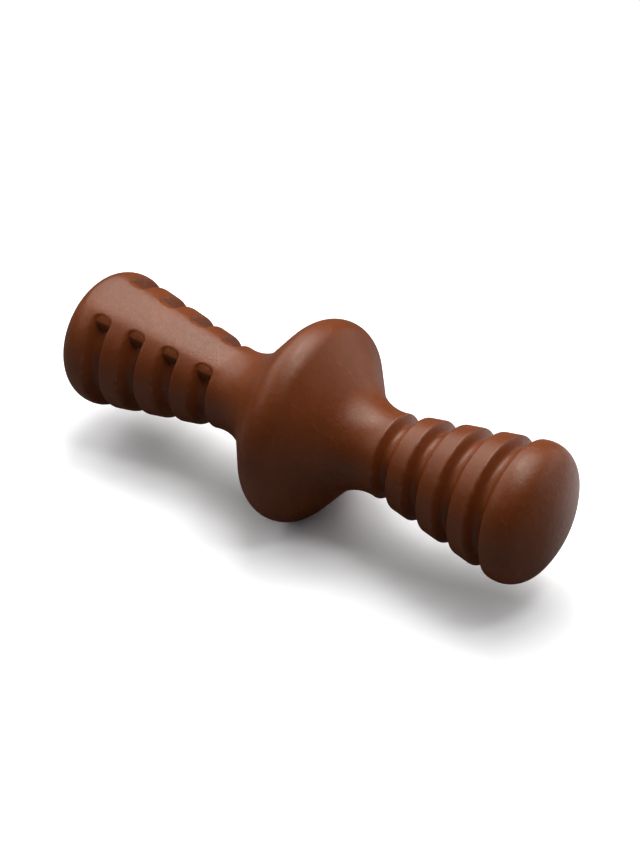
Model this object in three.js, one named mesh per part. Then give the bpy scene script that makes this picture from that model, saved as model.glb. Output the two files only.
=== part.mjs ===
// A moulded chew toy for dogs: a round centre bumper between two flared grips with grooves round them.
// Millimetres. +X runs along the toy and +Z is up. The bumper's lowest point is the origin.
// The moulding is divided square to its long axis into the sections that a person would name.
import * as THREE from "three";

const { clamp, degToRad, lerp, smoothstep } = THREE.MathUtils;

// Bumper and necks
const ridgeRadius = 34;
const ridgeRounding = 7.9;
const flankAngle = degToRad(50.8);
const neckRadius = 13.85;
const neckFillet = 17.5;

// Grips and ends
const flareAngle = degToRad(10.5);
const endLength = 14.9;
const rimRounding = 9;
const domeRadius = 38;

// Grooves round each grip
const grooveCount = 4;
const groovePitch = 12.8;
const grooveWidth = 7.6;
const grooveDepth = 4.2;
const shoulderRounding = 0.8;
const floorRounding = 2;
const floorFlat = 0.2;
const cornerRounding = 3;

// Shallow ledge at each end of a groove
const ledgeLength = 2.8;
const ledgeStep = 0.15;
const ledgeAngle = degToRad(16);

// Flat land along each grip, where the grooves stop. One lies near the top and the other opposite it.
const landHalfAngle = degToRad(20);
const landTilt = degToRad(13);
const landFade = 8;

// How finely curves are cut into flats
const bumperSides = 24;
const stepsOnRidge = 6;
const stepsOnNeck = 8;
const stepsOnRim = 6;
const stepsOnDome = 5;
const stepsOnShoulder = 1;
const stepsOnFloorRounding = 3;
const stepsOnLand = 4;
const stepsOnLedge = 3;
const stepsOnEndWall = 4;
const stepsRoundBack = 26;

const nylon = { color: 0x7d4a37, roughness: 0.42, metalness: 0 };

// Outline of one half, from the bumper's ridge to the end of the toy
const ridgeCentre = ridgeRadius - ridgeRounding;
const neckCentre = {
  x: neckCentreFromFlank(),
  radius: neckRadius + neckFillet,
};
const neckStart = onArc(neckCentre.x, neckCentre.radius, -neckFillet, Math.PI / 2 - flankAngle);
const gripStart = onArc(neckCentre.x, neckCentre.radius, -neckFillet, Math.PI / 2 + flareAngle);
const firstGroove = gripStart.x + grooveWidth / 2;
const gripEnd = firstGroove + (grooveCount - 1) * groovePitch + grooveWidth / 2;
const halfLength = gripEnd + endLength;
const domeCentre = halfLength - domeRadius;
const rimCentre = rimCentreInsideGripAndDome();
const rimStart = onArc(rimCentre.x, rimCentre.radius, rimRounding, Math.PI / 2 + flareAngle);
const rimEndAngle = Math.atan2(rimCentre.radius, rimCentre.x - domeCentre);

function onArc(x, radius, arcRadius, angle) {
  return {
    x: x + arcRadius * Math.cos(angle),
    radius: radius + arcRadius * Math.sin(angle),
  };
}

// The neck's hollow touches the bumper's flank and is narrowest at the neck radius.
function neckCentreFromFlank() {
  const flankDistance = ridgeCentre * Math.cos(flankAngle) + ridgeRounding;
  const height = neckRadius + neckFillet;
  return (flankDistance + neckFillet - height * Math.cos(flankAngle)) / Math.sin(flankAngle);
}

function gripRadius(x) {
  return gripStart.radius + (x - gripStart.x) * Math.tan(flareAngle);
}

// The rim touches the grip's cone and the end dome from inside.
function rimCentreInsideGripAndDome() {
  const inset = rimRounding / Math.cos(flareAngle);
  const slope = Math.tan(flareAngle);
  const atDomeCentre = gripRadius(domeCentre) - inset;
  const reach = domeRadius - rimRounding;
  const a = 1 + slope * slope;
  const b = slope * atDomeCentre;
  const c = atDomeCentre * atDomeCentre - reach * reach;
  const along = (Math.sqrt(b * b - a * c) - b) / a;
  return { x: domeCentre + along, radius: atDomeCentre + slope * along };
}

function arcStations(x, radius, arcRadius, fromAngle, toAngle, steps) {
  const stations = [];
  for (let i = 0; i <= steps; i++) {
    stations.push(onArc(x, radius, arcRadius, lerp(fromAngle, toAngle, i / steps)));
  }
  return stations;
}

// Groove section: a rounded shoulder, a sloping wall and a rounded floor edge
const floorReach = (grooveWidth - floorFlat) / 2;
const wallSlope = slopeOfWall();
const shoulderDrop = shoulderRounding * (1 - Math.cos(wallSlope));
const shoulderReach = shoulderRounding * Math.sin(wallSlope);
const wallEnd = floorReach - floorRounding * Math.sin(wallSlope);

// The wall touches both the round shoulder and the round floor edge.
function slopeOfWall() {
  const drop = grooveDepth - shoulderRounding - floorRounding;
  const between = Math.hypot(floorReach, drop);
  return Math.atan2(drop, floorReach) + Math.asin((shoulderRounding + floorRounding) / between);
}

// Depth of a groove at a distance in from its shoulder
function depthFromShoulder(inward) {
  if (inward <= 0) {
    return 0;
  }
  if (inward < shoulderReach) {
    return shoulderRounding - Math.sqrt(shoulderRounding ** 2 - inward ** 2);
  }
  if (inward < wallEnd) {
    return shoulderDrop + (inward - shoulderReach) * Math.tan(wallSlope);
  }
  if (inward < floorReach) {
    return grooveDepth - floorRounding + Math.sqrt(floorRounding ** 2 - (floorReach - inward) ** 2);
  }
  return grooveDepth;
}

// Where the rings of points lie across one groove, from its shoulder to its floor
function grooveSteps() {
  const inward = [];
  for (let i = 0; i <= stepsOnShoulder; i++) {
    inward.push(shoulderRounding * Math.sin((wallSlope * i) / stepsOnShoulder));
  }
  for (let i = stepsOnFloorRounding; i >= 0; i--) {
    inward.push(floorReach - floorRounding * Math.sin((wallSlope * i) / stepsOnFloorRounding));
  }
  return inward;
}

// Distance in from the edge of a groove, whose corners are rounded at the land
function inwardOfRoundCorner(fromSide, fromEnd) {
  if (fromSide < cornerRounding && fromEnd < cornerRounding) {
    return cornerRounding - Math.hypot(cornerRounding - fromSide, cornerRounding - fromEnd);
  }
  return Math.min(fromSide, fromEnd);
}

// Each groove ends in a shallow ledge at the land. The angle is counted from the land's middle.
function grooveDepthAt(x, angle) {
  const nearest = clamp(Math.round((x - firstGroove) / groovePitch), 0, grooveCount - 1);
  const middle = firstGroove + nearest * groovePitch;
  const fromSide = grooveWidth / 2 - Math.abs(x - middle);
  const fromEnd = (Math.abs(angle) - landHalfAngle) * gripRadius(middle);
  const sectionDepth = depthFromShoulder(inwardOfRoundCorner(fromSide, fromEnd));
  const onLedge = clamp(fromEnd, 0, ledgeLength);
  const ledgeDepth = ledgeStep + onLedge * Math.tan(ledgeAngle);
  return Math.min(sectionDepth, ledgeDepth + depthFromShoulder(fromEnd - ledgeLength));
}

// The land is flat across the grip, and fades into the round neck.
function landRadiusAt(station, angle) {
  if (Math.abs(angle) >= landHalfAngle) {
    return station.radius;
  }
  const full = station.x < gripStart.x ? station.radius : gripRadius(station.x);
  const flat = Math.min(station.radius, (full * Math.cos(landHalfAngle)) / Math.cos(angle));
  const share = smoothstep(station.x, gripStart.x - landFade, gripStart.x);
  return lerp(station.radius, flat, share);
}

// Angles of the points in a ring: close together over the land and the ends of the grooves
function gripAngles() {
  const ledgeEnd = landHalfAngle + ledgeLength / neckRadius;
  const fullDepth = ledgeEnd + floorReach / neckRadius;
  const wholeTurn = 2 * Math.PI;
  const spans = [
    { from: -landHalfAngle, to: landHalfAngle, steps: stepsOnLand },
    { from: landHalfAngle, to: ledgeEnd, steps: stepsOnLedge },
    { from: ledgeEnd, to: fullDepth, steps: stepsOnEndWall },
    { from: fullDepth, to: wholeTurn - fullDepth, steps: stepsRoundBack },
    { from: wholeTurn - fullDepth, to: wholeTurn - ledgeEnd, steps: stepsOnEndWall },
    { from: wholeTurn - ledgeEnd, to: wholeTurn - landHalfAngle, steps: stepsOnLedge },
  ];
  const angles = [];
  for (const { from, to, steps } of spans) {
    for (let i = 0; i < steps; i++) {
      const angle = lerp(from, to, i / steps);
      angles.push(angle > Math.PI ? angle - wholeTurn : angle);
    }
  }
  return angles;
}

function ringPoint(x, radius, turn) {
  return new THREE.Vector3(x, radius * Math.sin(turn), ridgeRadius + radius * Math.cos(turn));
}

// One ring of a grip section. The right grip is the left one turned half a turn.
function gripRing(side, station) {
  const landTurn = side < 0 ? -landTilt : Math.PI - landTilt;
  return gripAngles().map((angle) => {
    const radius = landRadiusAt(station, angle) - grooveDepthAt(station.x, angle);
    return ringPoint(side * station.x, radius, landTurn + angle);
  });
}

// The bumper's flats touch its true circle, and one of them lies underneath.
function bumperRing(station) {
  const ring = [];
  for (let i = 0; i < bumperSides; i++) {
    const turn = ((i + 0.5) * 2 * Math.PI) / bumperSides;
    ring.push(ringPoint(station.x, station.radius / Math.cos(Math.PI / bumperSides), turn));
  }
  return ring;
}

// A closed body through rings in order of x, with each end drawn together on the long axis
function loft(rings, firstTip, lastTip) {
  const around = rings[0].length;
  const points = [...rings.flat(), ringPoint(firstTip, 0, 0), ringPoint(lastTip, 0, 0)];
  const lastTipIndex = points.length - 1;
  const firstTipIndex = lastTipIndex - 1;
  const lastRing = (rings.length - 1) * around;
  const faces = [];
  for (let i = 0; i < around; i++) {
    const next = (i + 1) % around;
    faces.push(firstTipIndex, i, next);
    faces.push(lastTipIndex, lastRing + next, lastRing + i);
    for (let row = 0; row < lastRing; row += around) {
      faces.push(row + i, row + around + i, row + next);
      faces.push(row + next, row + around + i, row + around + next);
    }
  }
  const geometry = new THREE.BufferGeometry().setFromPoints(points);
  geometry.setIndex(faces);
  geometry.computeVertexNormals();
  return geometry;
}

function section(name, geometry) {
  const mesh = new THREE.Mesh(geometry, new THREE.MeshStandardMaterial(nylon));
  mesh.name = name;
  return mesh;
}

// A section of one half: the stations run outwards, and a rounded end has its tip past the last of them.
function halfSection(side, name, stations, tip) {
  const rings = stations.map((station) => gripRing(side, station));
  const inner = side * stations[0].x;
  const outer = side * (tip ?? stations.at(-1).x);
  const geometry = side < 0 ? loft(rings.reverse(), outer, inner) : loft(rings, inner, outer);
  return section(name, geometry);
}

function bumperStations() {
  const top = Math.PI / 2;
  const half = arcStations(0, ridgeCentre, ridgeRounding, top, top - flankAngle, stepsOnRidge);
  half.push(neckStart);
  const mirrored = half.slice(1).map(({ x, radius }) => ({ x: -x, radius }));
  return [...mirrored.reverse(), ...half];
}

function neckStations() {
  const from = Math.PI / 2 - flankAngle;
  const to = Math.PI / 2 + flareAngle;
  return arcStations(neckCentre.x, neckCentre.radius, -neckFillet, from, to, stepsOnNeck);
}

function gripStations() {
  const places = [];
  const steps = grooveSteps();
  for (let i = 0; i < grooveCount; i++) {
    const middle = firstGroove + i * groovePitch;
    places.push(...steps.map((inward) => middle - grooveWidth / 2 + inward));
    places.push(...steps.map((inward) => middle + grooveWidth / 2 - inward).reverse());
  }
  return places.map((x) => ({ x, radius: gripRadius(x) }));
}

function endStations() {
  const onGrip = { x: gripEnd, radius: gripRadius(gripEnd) };
  const leaving = Math.PI / 2 + flareAngle;
  const rim = arcStations(rimCentre.x, rimCentre.radius, rimRounding, leaving, rimEndAngle, stepsOnRim);
  const dome = arcStations(domeCentre, 0, domeRadius, rimEndAngle, 0, stepsOnDome);
  return [onGrip, ...rim, ...dome.slice(1, -1)];
}

const bumperRings = bumperStations().map(bumperRing);
const chewToy = new THREE.Group();
chewToy.add(section("centre_bumper", loft(bumperRings, -neckStart.x, neckStart.x)));
for (const [side, hand] of [[-1, "left"], [1, "right"]]) {
  chewToy.add(halfSection(side, `${hand}_neck`, neckStations()));
  chewToy.add(halfSection(side, `${hand}_grip`, gripStations()));
  chewToy.add(halfSection(side, `${hand}_end`, endStations(), halfLength));
}

export default chewToy;
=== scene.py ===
# A moulded chew toy for dogs: fine smooth skins in satin nylon replace its frame's solids, on a white floor.
# Metres. +X runs along the toy, +Z is up, and the bumper touches the floor at the origin.
import math

import bpy
import numpy as np
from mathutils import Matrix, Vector


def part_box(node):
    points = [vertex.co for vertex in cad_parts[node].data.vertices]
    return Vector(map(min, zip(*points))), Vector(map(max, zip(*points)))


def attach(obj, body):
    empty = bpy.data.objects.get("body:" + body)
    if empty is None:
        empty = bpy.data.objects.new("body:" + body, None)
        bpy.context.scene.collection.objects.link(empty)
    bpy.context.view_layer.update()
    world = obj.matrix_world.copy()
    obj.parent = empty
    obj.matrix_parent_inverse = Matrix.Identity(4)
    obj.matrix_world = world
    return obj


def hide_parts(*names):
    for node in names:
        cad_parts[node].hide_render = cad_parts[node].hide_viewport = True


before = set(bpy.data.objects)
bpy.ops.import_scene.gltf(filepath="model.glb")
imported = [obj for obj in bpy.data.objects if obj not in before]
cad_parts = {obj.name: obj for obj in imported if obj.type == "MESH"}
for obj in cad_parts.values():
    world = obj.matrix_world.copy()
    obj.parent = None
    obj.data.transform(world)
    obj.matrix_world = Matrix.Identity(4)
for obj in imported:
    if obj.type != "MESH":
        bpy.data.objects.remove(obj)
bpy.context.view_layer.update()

# Bumper and necks
ridge_radius = 0.034
ridge_rounding = 0.0079
flank_angle = math.radians(50.8)
neck_radius = 0.01385
neck_fillet = 0.0175

# Grips and ends
flare_angle = math.radians(10.5)
end_length = 0.0149
rim_rounding = 0.009
dome_radius = 0.038

# Grooves round each grip
groove_count = 4
groove_pitch = 0.0128
groove_width = 0.0076
groove_depth = 0.0042
shoulder_rounding = 0.0008
floor_rounding = 0.002
floor_flat = 0.0002
corner_rounding = 0.003
ledge_length = 0.0028
ledge_step = 0.00015
ledge_angle = math.radians(16)
ledge_softness = 0.0001
worn_depth = shoulder_rounding / 2

# Flat land along each grip, where the grooves stop
land_half_angle = math.radians(20)
land_tilt = math.radians(13)
land_fade = 0.008
land_flatness = 0.75
land_edge_softness = 0.0008

# How finely the skins are cut
points_around = 320
steps_on_ridge = 24
steps_on_flank = 10
steps_on_neck = 48
steps_across_groove = 24
steps_across_rib = 14
steps_to_rim = 8
steps_on_rim = 20
steps_on_dome = 16
seam_tolerance = 1e-6

# Outline of one half as points (x, radius), from the bumper's ridge to the tip of the end
quarter_turn = math.pi / 2
ridge_centre = np.array([0, ridge_radius - ridge_rounding])
neck_centre_radius = neck_radius + neck_fillet


def neck_centre_x():
    """Where the neck's hollow touches the bumper's flank."""
    flank_distance = ridge_centre[1] * math.cos(flank_angle) + ridge_rounding
    reach = flank_distance + neck_fillet - neck_centre_radius * math.cos(flank_angle)
    return reach / math.sin(flank_angle)


def arc(centre, arc_radius, from_angle, to_angle, steps):
    angles = np.linspace(from_angle, to_angle, steps + 1)
    return centre + arc_radius * np.column_stack((np.cos(angles), np.sin(angles)))


def line(start, end, steps):
    return np.linspace(start, end, steps + 1)


neck_centre = np.array([neck_centre_x(), neck_centre_radius])
neck_from = quarter_turn - flank_angle
neck_to = quarter_turn + flare_angle
neck_arc = arc(neck_centre, -neck_fillet, neck_from, neck_to, steps_on_neck)
grip_start = neck_arc[-1]
first_groove = grip_start[0] + groove_width / 2
grip_end_x = first_groove + (groove_count - 1) * groove_pitch + groove_width / 2
half_length = grip_end_x + end_length
dome_centre = np.array([half_length - dome_radius, 0])


def grip_radius(x):
    return grip_start[1] + (x - grip_start[0]) * math.tan(flare_angle)


def on_grip(x):
    return np.array([x, grip_radius(x)])


def rim_centre_inside_grip_and_dome():
    """The rim touches the grip's cone and the end dome from inside."""
    slope = math.tan(flare_angle)
    at_dome_centre = grip_radius(dome_centre[0]) - rim_rounding / math.cos(flare_angle)
    reach = dome_radius - rim_rounding
    square_term = 1 + slope ** 2
    half_linear_term = slope * at_dome_centre
    constant_term = at_dome_centre ** 2 - reach ** 2
    root = math.sqrt(half_linear_term ** 2 - square_term * constant_term)
    along = (root - half_linear_term) / square_term
    return np.array([dome_centre[0] + along, at_dome_centre + slope * along])


def grip_places():
    """Places along the grip, in even steps across each groove and each rib."""
    places = []
    for i in range(groove_count):
        groove_start = grip_start[0] + i * groove_pitch
        groove_end = groove_start + groove_width
        rib_end = groove_start + groove_pitch
        places.append(np.linspace(groove_start, groove_end, steps_across_groove, endpoint=False))
        places.append(np.linspace(groove_end, rib_end, steps_across_rib, endpoint=False))
    places[-1] = places[-1][:1]
    return np.concatenate(places)


def half_outline():
    rim_centre = rim_centre_inside_grip_and_dome()
    rim_end_angle = math.atan2(rim_centre[1], rim_centre[0] - dome_centre[0])
    ridge = arc(ridge_centre, ridge_rounding, quarter_turn, quarter_turn - flank_angle, steps_on_ridge)
    grip = np.array([on_grip(x) for x in grip_places()])
    rim = arc(rim_centre, rim_rounding, quarter_turn + flare_angle, rim_end_angle, steps_on_rim)
    dome = arc(dome_centre, dome_radius, rim_end_angle, 0, steps_on_dome)
    flank = line(ridge[-1], neck_arc[0], steps_on_flank)
    to_rim = line(grip[-1], rim[0], steps_to_rim)
    return np.vstack((ridge, flank[1:], neck_arc[1:], grip[1:], to_rim[1:], rim[1:], dome[1:-1]))


# Depth of the grooves
floor_reach = (groove_width - floor_flat) / 2


def slope_of_wall():
    """The wall touches both the round shoulder and the round floor edge."""
    drop = groove_depth - shoulder_rounding - floor_rounding
    between = math.hypot(floor_reach, drop)
    return math.atan2(drop, floor_reach) + math.asin((shoulder_rounding + floor_rounding) / between)


wall_slope = slope_of_wall()
shoulder_reach = shoulder_rounding * math.sin(wall_slope)
floor_rounding_reach = floor_rounding * math.sin(wall_slope)
wall_reach = floor_reach - shoulder_reach - floor_rounding_reach


def depth_from_shoulder(inward):
    """Depth of a groove at a distance in from its edge: a round shoulder, a wall and a round floor edge."""
    on_shoulder = np.clip(inward, 0, shoulder_reach)
    on_wall = np.clip(inward - shoulder_reach, 0, wall_reach)
    to_floor = np.clip(floor_reach - inward, 0, floor_rounding_reach)
    shoulder = shoulder_rounding - np.sqrt(shoulder_rounding ** 2 - on_shoulder ** 2)
    wall = on_wall * math.tan(wall_slope)
    floor_edge = np.sqrt(floor_rounding ** 2 - to_floor ** 2) - floor_rounding * math.cos(wall_slope)
    return shoulder + wall + floor_edge


def smooth_minimum(first, second, softness):
    overlap = np.clip(1 - np.abs(first - second) / softness, 0, 1)
    return np.minimum(first, second) - overlap ** 2 * softness / 4


def inward_of_round_corner(from_side, from_end):
    """Distance in from the edge of a groove, whose corners are rounded at the land."""
    in_corner = (from_side < corner_rounding) & (from_end < corner_rounding)
    past_corner = np.hypot(corner_rounding - from_side, corner_rounding - from_end)
    return np.where(in_corner, corner_rounding - past_corner, np.minimum(from_side, from_end))


def groove_depth_at(x, angle):
    """Each groove ends in a shallow ledge at the land. The angle is counted from the land's middle."""
    nearest = np.clip(np.round((x - first_groove) / groove_pitch), 0, groove_count - 1)
    middle = first_groove + nearest * groove_pitch
    from_side = groove_width / 2 - np.abs(x - middle)
    from_end = (np.abs(angle) - land_half_angle) * grip_radius(middle)
    section = depth_from_shoulder(inward_of_round_corner(from_side, from_end))
    on_ledge = np.clip(from_end, 0, ledge_length)
    ledge = ledge_step + on_ledge * math.tan(ledge_angle) + depth_from_shoulder(from_end - ledge_length)
    return smooth_minimum(section, ledge, ledge_softness)


def land_radius_at(x, radius, angle):
    """The land is flat across the grip, and fades into the round neck."""
    full = np.where(x < grip_start[0], radius, grip_radius(x))
    facing = np.clip(np.cos(angle), math.cos(2 * land_half_angle), 1)
    flat = smooth_minimum(radius, full * math.cos(land_half_angle) / facing, land_edge_softness)
    share = np.clip((x - grip_start[0]) / land_fade + 1, 0, 1)
    return radius + (flat - radius) * land_flatness * share ** 2 * (3 - 2 * share)


def edge_wear_at(depth):
    """1 on the round shoulders of the grooves, and 0 on the ribs, walls and floors."""
    return np.clip(1 - np.abs(depth - worn_depth) / worn_depth, 0, 1)


# The skin of the whole toy as rings of points, and the direction that it faces at each of them
def whole_outline():
    half = half_outline()
    mirrored = half[:0:-1] * (-1, 1)
    return np.vstack((mirrored, half))


def skin_points_and_wear():
    outline = whole_outline()
    x = outline[:, :1]
    radius = outline[:, 1:]
    turn = np.linspace(0, 2 * math.pi, points_around, endpoint=False)[np.newaxis]
    land_turn = np.where(x < 0, -land_tilt, math.pi - land_tilt)
    angle = (turn - land_turn + math.pi) % (2 * math.pi) - math.pi
    along = np.abs(x)
    depth = groove_depth_at(along, angle)
    skin_radius = land_radius_at(along, radius, angle) - depth
    y = skin_radius * np.sin(turn)
    z = ridge_radius + skin_radius * np.cos(turn)
    return np.stack((np.broadcast_to(x, y.shape), y, z), axis=-1), edge_wear_at(depth)


def skin_directions(points):
    along = np.gradient(points, axis=0)
    around = np.roll(points, -1, axis=1) - np.roll(points, 1, axis=1)
    facing = np.cross(along, around)
    return facing / np.linalg.norm(facing, axis=-1, keepdims=True)


# Sections of the skin, each closed at both ends
def ring_faces(rows):
    """Four-sided faces between rings of points, seen from outside."""
    index = np.arange(rows * points_around).reshape(rows, points_around)
    after = np.roll(index, -1, axis=1)
    quads = np.stack((index[:-1], index[1:], after[1:], after[:-1]), axis=-1)
    return quads.reshape(-1, 4)


def fan_faces(ring, tip, outward):
    after = np.roll(ring, -1)
    corners = (ring, after) if outward < 0 else (after, ring)
    return np.stack((np.full(points_around, tip), *corners), axis=-1)


def fan_directions(fan, facing, ring_to_tip, outward):
    """A fan faces along the axis. Where it closes a dome, its ring keeps the skin's own directions."""
    directions = np.broadcast_to((outward, 0.0, 0.0), (points_around, 3, 3)).copy()
    if abs(ring_to_tip) > seam_tolerance:
        directions[:, 1:] = facing[fan[:, 1:]]
    return directions.reshape(-1, 3)


def section_mesh(name, points, directions, wear, tips):
    """A closed mesh through rings of points, drawn together at each end on a tip on the long axis."""
    rows = len(points)
    corners = rows * points_around
    places = np.vstack((points.reshape(-1, 3), tips))
    facing = directions.reshape(-1, 3)
    quads = ring_faces(rows)
    first_fan = fan_faces(np.arange(points_around), corners, -1)
    last_fan = fan_faces(np.arange(corners - points_around, corners), corners + 1, 1)
    mesh = bpy.data.meshes.new(name)
    mesh.from_pydata(places.tolist(), [], quads.tolist() + first_fan.tolist() + last_fan.tolist())
    mesh.shade_smooth()
    first_gap = tips[0][0] - points[0, 0, 0]
    last_gap = tips[1][0] - points[-1, 0, 0]
    corner_directions = (
        facing[quads].reshape(-1, 3),
        fan_directions(first_fan, facing, first_gap, -1),
        fan_directions(last_fan, facing, last_gap, 1),
    )
    mesh.normals_split_custom_set(np.vstack(corner_directions).tolist())
    wear_and_tips = np.append(wear, np.zeros(len(tips)))
    mesh.attributes.new("edge_wear", "FLOAT", "POINT").data.foreach_set("value", wear_and_tips)
    return mesh


def make_sections(material):
    points, wear = skin_points_and_wear()
    directions = skin_directions(points)
    ring_x = points[:, 0, 0]
    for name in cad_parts:
        lowest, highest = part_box(name)
        inside = (ring_x > lowest.x - seam_tolerance) & (ring_x < highest.x + seam_tolerance)
        tips = [(end.x, 0, ridge_radius) for end in (lowest, highest)]
        mesh = section_mesh(name + "_skin", points[inside], directions[inside], wear[inside], tips)
        mesh.materials.append(material)
        piece = bpy.data.objects.new(name + "_skin", mesh)
        bpy.context.scene.collection.objects.link(piece)
        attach(piece, "root")
        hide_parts(name)


# Shader nodes
def add_node(tree, kind, **settings):
    node = tree.nodes.new(kind)
    for key, value in settings.items():
        setattr(node, key, value)
    return node


def noise(tree, place, scale, detail, roughness=0.5):
    node = add_node(tree, "ShaderNodeTexNoise")
    node.inputs["Scale"].default_value = scale
    node.inputs["Detail"].default_value = detail
    node.inputs["Roughness"].default_value = roughness
    tree.links.new(place, node.inputs["Vector"])
    return node.outputs["Fac"]


def spread(tree, value, from_range, to_range):
    node = add_node(tree, "ShaderNodeMapRange", clamp=True)
    node.inputs["From Min"].default_value, node.inputs["From Max"].default_value = from_range
    node.inputs["To Min"].default_value, node.inputs["To Max"].default_value = to_range
    tree.links.new(value, node.inputs["Value"])
    return node.outputs["Result"]


def multiply(tree, first, second):
    node = add_node(tree, "ShaderNodeMath", operation="MULTIPLY")
    tree.links.new(first, node.inputs[0])
    tree.links.new(second, node.inputs[1])
    return node.outputs["Value"]


def blend_colours(tree, share, first, second):
    node = add_node(tree, "ShaderNodeMix", data_type="RGBA")
    tree.links.new(share, node.inputs["Factor"])
    for socket, colour in (("A", first), ("B", second)):
        slot = next(s for s in node.inputs if s.name == socket and s.type == "RGBA")
        if isinstance(colour, tuple):
            slot.default_value = (*colour, 1)
        else:
            tree.links.new(colour, slot)
    return next(s for s in node.outputs if s.type == "RGBA")


def bump(tree, height, distance, strength, below=None):
    node = add_node(tree, "ShaderNodeBump")
    node.inputs["Strength"].default_value = strength
    node.inputs["Distance"].default_value = distance
    tree.links.new(height, node.inputs["Height"])
    if below is not None:
        tree.links.new(below, node.inputs["Normal"])
    return node.outputs["Normal"]


def mix_shaders(tree, share, first, second):
    node = add_node(tree, "ShaderNodeMixShader")
    tree.links.new(share, node.inputs["Fac"])
    tree.links.new(first.outputs[0], node.inputs[1])
    tree.links.new(second.outputs[0], node.inputs[2])
    return node


# Satin nylon: colours, scales of its marks per metre, ranges of noise that show and heights of its bumps
dark_brown = (0.196, 0.0428, 0.0078)
light_brown = (0.232, 0.0535, 0.0118)
fleck_brown = (0.26, 0.072, 0.022)
rubbed_brown = (0.33, 0.12, 0.06)
flow_scale = 60
flow_detail = 4
flow_roughness = 0.55
mottle_scale = 420
mottle_detail = 3
sparkle_scale = 900
grain_scale = 1700
fine_detail = 2
streak_range = (0.35, 0.68)
fleck_range = (0.54, 0.74)
fleck_share = 0.25
wear_range = (0.45, 0.62)
wear_share = 0.5
sparkle_range = (0.35, 0.66)
roughness_range = (0.45, 0.37)
scratch_cells = 150
scratch_width_range = (0.008, 0.022)
scratch_stretch_scale = 210
scratch_stretch_detail = 1
scratch_stretch_range = (0.58, 0.66)
scratch_share = 0.3
scratch_depth = 0.00005
scratch_strength = 0.5
peel_height = 0.00018
grain_height = 0.00006
pebble_strength = 0.6
refraction = 1.53
shine_tint = (1, 0.95, 0.85)


def scratches(tree, place):
    """Short thin scratches: stretches of the borders between cells, where a noise is high."""
    cells = add_node(tree, "ShaderNodeTexVoronoi", feature="DISTANCE_TO_EDGE")
    cells.inputs["Scale"].default_value = scratch_cells
    tree.links.new(place, cells.inputs["Vector"])
    lines = spread(tree, cells.outputs["Distance"], scratch_width_range, (1, 0))
    stretch_noise = noise(tree, place, scratch_stretch_scale, scratch_stretch_detail)
    return multiply(tree, lines, spread(tree, stretch_noise, scratch_stretch_range, (0, 1)))


def nylon_colour(tree, flow, mottle, marks):
    """Slow streaks of brown with flecks, paler where the groove edges are worn and along the scratches."""
    edge_wear = add_node(tree, "ShaderNodeAttribute", attribute_name="edge_wear").outputs["Fac"]
    worn = multiply(tree, edge_wear, spread(tree, mottle, wear_range, (0, wear_share)))
    flecks = spread(tree, mottle, fleck_range, (0, fleck_share))
    scuffs = spread(tree, marks, (0, 1), (0, scratch_share))
    brown = blend_colours(tree, spread(tree, flow, streak_range, (0, 1)), dark_brown, light_brown)
    flecked = blend_colours(tree, flecks, brown, fleck_brown)
    rubbed = blend_colours(tree, worn, flecked, rubbed_brown)
    return blend_colours(tree, scuffs, rubbed, rubbed_brown)


def nylon_material():
    material = bpy.data.materials.new("nylon")
    material.use_nodes = True
    tree = material.node_tree
    shader = tree.nodes["Principled BSDF"]
    place = add_node(tree, "ShaderNodeTexCoord").outputs["Object"]
    flow = noise(tree, place, flow_scale, flow_detail, flow_roughness)
    mottle = noise(tree, place, mottle_scale, mottle_detail)
    sparkle = noise(tree, place, sparkle_scale, fine_detail)
    grain = noise(tree, place, grain_scale, fine_detail)
    marks = scratches(tree, place)
    peel = bump(tree, mottle, peel_height, pebble_strength)
    pebbled = bump(tree, grain, grain_height, pebble_strength, peel)
    scratched = bump(tree, marks, -scratch_depth, scratch_strength, pebbled)
    tree.links.new(nylon_colour(tree, flow, mottle, marks), shader.inputs["Base Color"])
    tree.links.new(spread(tree, sparkle, sparkle_range, roughness_range), shader.inputs["Roughness"])
    tree.links.new(scratched, shader.inputs["Normal"])
    shader.inputs["IOR"].default_value = refraction
    shader.inputs["Specular Tint"].default_value = (*shine_tint, 1)
    return material


# White floor and backdrop
white = (1, 1, 1)
floor_half_width = 2.0
floor_bounce = (0.3, 0.3, 0.3)
card_place = (0.1, 0.13, 0)
card_fades = (0.06, 0.12)
card_and_floor_grey = (0.9, 0.12)
# Painted glow on the floor near the toy: an emission that lightens the shadow, held back by ambient
# occlusion within this reach, which paints shade under the toy
painted_shade_reach = 0.1
painted_shade_range = (0.2, 1)
painted_glow_strength = 0.5
shadow_fades = (0.18, 0.40)
backdrop_light = 0.01
backdrop_white = 1


def matt(tree, colour):
    node = add_node(tree, "ShaderNodeBsdfDiffuse")
    node.inputs["Color"].default_value = (*colour, 1)
    return node


def floor_in_gloss(tree, place):
    """Dark, with a pale patch behind the right end, as from a white card, which the dome mirrors."""
    from_card = add_node(tree, "ShaderNodeVectorMath", operation="DISTANCE")
    tree.links.new(place, from_card.inputs[0])
    from_card.inputs[1].default_value = card_place
    mirrored = add_node(tree, "ShaderNodeBsdfDiffuse")
    grey = spread(tree, from_card.outputs["Value"], card_fades, card_and_floor_grey)
    tree.links.new(grey, mirrored.inputs["Color"])
    return mirrored


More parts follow.
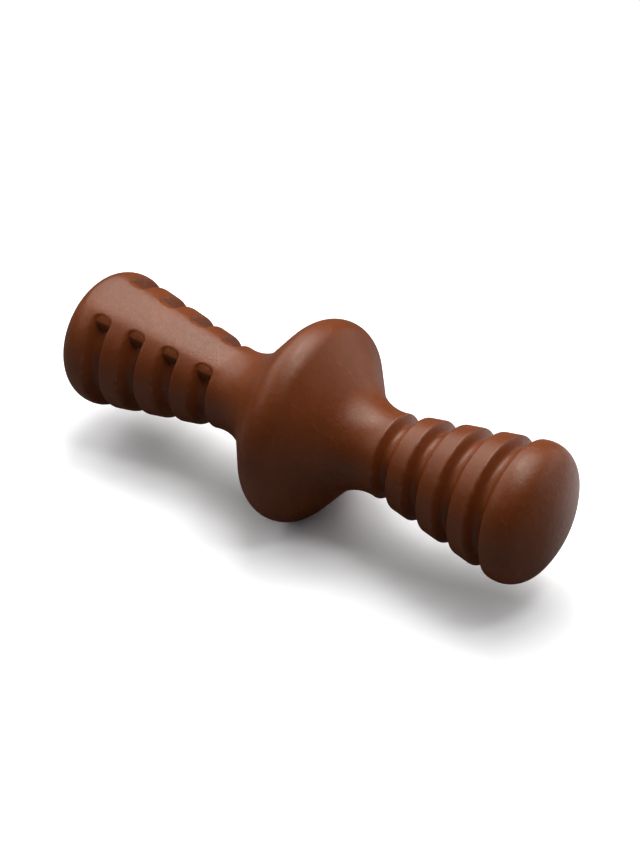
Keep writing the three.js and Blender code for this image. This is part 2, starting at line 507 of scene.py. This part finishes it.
def floor_by_eye(tree, place):
    """Near the toy, white lit by the lamps with the toy's cast shadow, plus a painted glow that lightens
    that shadow and fades where ambient occlusion finds the toy close, painting extra shade under it; further
    away, plain white.
    """
    # Painted glow and painted shade: an emission whose strength follows ambient occlusion, weaker close
    # under the toy
    glow_occlusion = add_node(tree, "ShaderNodeAmbientOcclusion")
    glow_occlusion.inputs["Distance"].default_value = painted_shade_reach
    painted_glow = add_node(tree, "ShaderNodeEmission")
    tree.links.new(spread(tree, glow_occlusion.outputs["AO"], painted_shade_range, (0, painted_glow_strength)), painted_glow.inputs["Strength"])
    lamp_lit_and_painted_glow = add_node(tree, "ShaderNodeAddShader")
    tree.links.new(matt(tree, white).outputs[0], lamp_lit_and_painted_glow.inputs[0])
    tree.links.new(painted_glow.outputs[0], lamp_lit_and_painted_glow.inputs[1])
    distance = add_node(tree, "ShaderNodeVectorMath", operation="LENGTH")
    tree.links.new(place, distance.inputs[0])
    away = spread(tree, distance.outputs["Value"], shadow_fades, (0, 1))
    return mix_shaders(tree, away, lamp_lit_and_painted_glow, add_node(tree, "ShaderNodeEmission"))


def floor_material():
    """A plain matt floor for light that bounces, another for gloss, and a white one for the eye."""
    material = bpy.data.materials.new("white_floor")
    material.use_nodes = True
    tree = material.node_tree
    tree.nodes.clear()
    place = add_node(tree, "ShaderNodeTexCoord").outputs["Object"]
    path = add_node(tree, "ShaderNodeLightPath")
    in_gloss = floor_in_gloss(tree, place)
    unseen = mix_shaders(tree, path.outputs["Is Glossy Ray"], matt(tree, floor_bounce), in_gloss)
    surface = mix_shaders(tree, path.outputs["Is Camera Ray"], unseen, floor_by_eye(tree, place))
    output = add_node(tree, "ShaderNodeOutputMaterial")
    tree.links.new(surface.outputs[0], output.inputs["Surface"])
    return material


def make_floor():
    mesh = bpy.data.meshes.new("floor")
    sides = ((-1, -1), (1, -1), (1, 1), (-1, 1))
    corners = [(x * floor_half_width, y * floor_half_width, 0) for x, y in sides]
    mesh.from_pydata(corners, [], [(0, 1, 2, 3)])
    mesh.materials.append(floor_material())
    floor = bpy.data.objects.new("floor", mesh)
    bpy.context.scene.collection.objects.link(floor)


def background(tree, strength):
    node = add_node(tree, "ShaderNodeBackground")
    node.inputs["Color"].default_value = (*white, 1)
    node.inputs["Strength"].default_value = strength
    return node


def make_world():
    """White to the eye, and nearly dark as a light."""
    world = bpy.data.worlds.new("studio")
    world.use_nodes = True
    tree = world.node_tree
    tree.nodes.clear()
    by_eye = add_node(tree, "ShaderNodeLightPath").outputs["Is Camera Ray"]
    surface = mix_shaders(tree, by_eye, background(tree, backdrop_light), background(tree, backdrop_white))
    output = add_node(tree, "ShaderNodeOutputWorld")
    tree.links.new(surface.outputs[0], output.inputs["Surface"])
    bpy.context.scene.world = world


# Soft lamps that face the toy: place, width and height, and power in watts
middle_of_toy = Vector((0, 0, ridge_radius))
softboxes = {
    "back_softbox": ((-0.055, 0.41, 0.87), (0.7, 0.6), 3.8),
    "back_lamp": ((-0.2, 0.25, 0.95), (0.25, 0.25), 1.4),
    "top_softbox": ((0, 0, 1), (0.35, 0.35), 1.25),
    "left_softbox": ((-0.64, 0.24, 0.69), (0.8, 0.6), 3.3),
    "left_front_softbox": ((-0.55, -0.45, 0.7), (0.5, 0.5), 0.85),
    "right_softbox": ((0.38, 0.36, 0.85), (0.5, 0.5), 1.3),
    "top_right_lamp": ((0.36, 0, 0.93), (0.2, 0.2), 1.3),
    "right_back_panel": ((0.55, 0.8, 0.2), (1.1, 0.5), 1.7),
}


def make_softbox(name, place, size, power):
    light = bpy.data.lights.new(name, "AREA")
    light.shape = "RECTANGLE"
    light.size, light.size_y = size
    light.energy = power
    lamp = bpy.data.objects.new(name, light)
    lamp.location = place
    lamp.rotation_euler = (middle_of_toy - Vector(place)).to_track_quat("-Z", "Y").to_euler()
    bpy.context.scene.collection.objects.link(lamp)


# Camera at the photograph's angle, with its lens and sensor in millimetres
view_turn = math.radians(35.76)
view_rise = math.radians(36.07)
view_distance = 0.762
view_target = Vector((0.0023, 0.0013, 0.0336))
lens_length = 102.05
sensor_width = 36


def make_camera():
    data = bpy.data.cameras.new("camera")
    data.lens = lens_length
    data.sensor_width = sensor_width
    towards = Vector((math.cos(view_rise) * math.sin(view_turn),
                      -math.cos(view_rise) * math.cos(view_turn),
                      math.sin(view_rise)))
    camera = bpy.data.objects.new("camera", data)
    camera.location = view_target + view_distance * towards
    camera.rotation_euler = (-towards).to_track_quat("-Z", "Y").to_euler()
    bpy.context.scene.collection.objects.link(camera)
    bpy.context.scene.camera = camera


make_sections(nylon_material())
make_floor()
make_world()
for name, (place, size, power) in softboxes.items():
    make_softbox(name, place, size, power)
make_camera()
bpy.context.scene.view_settings.view_transform = "Standard"
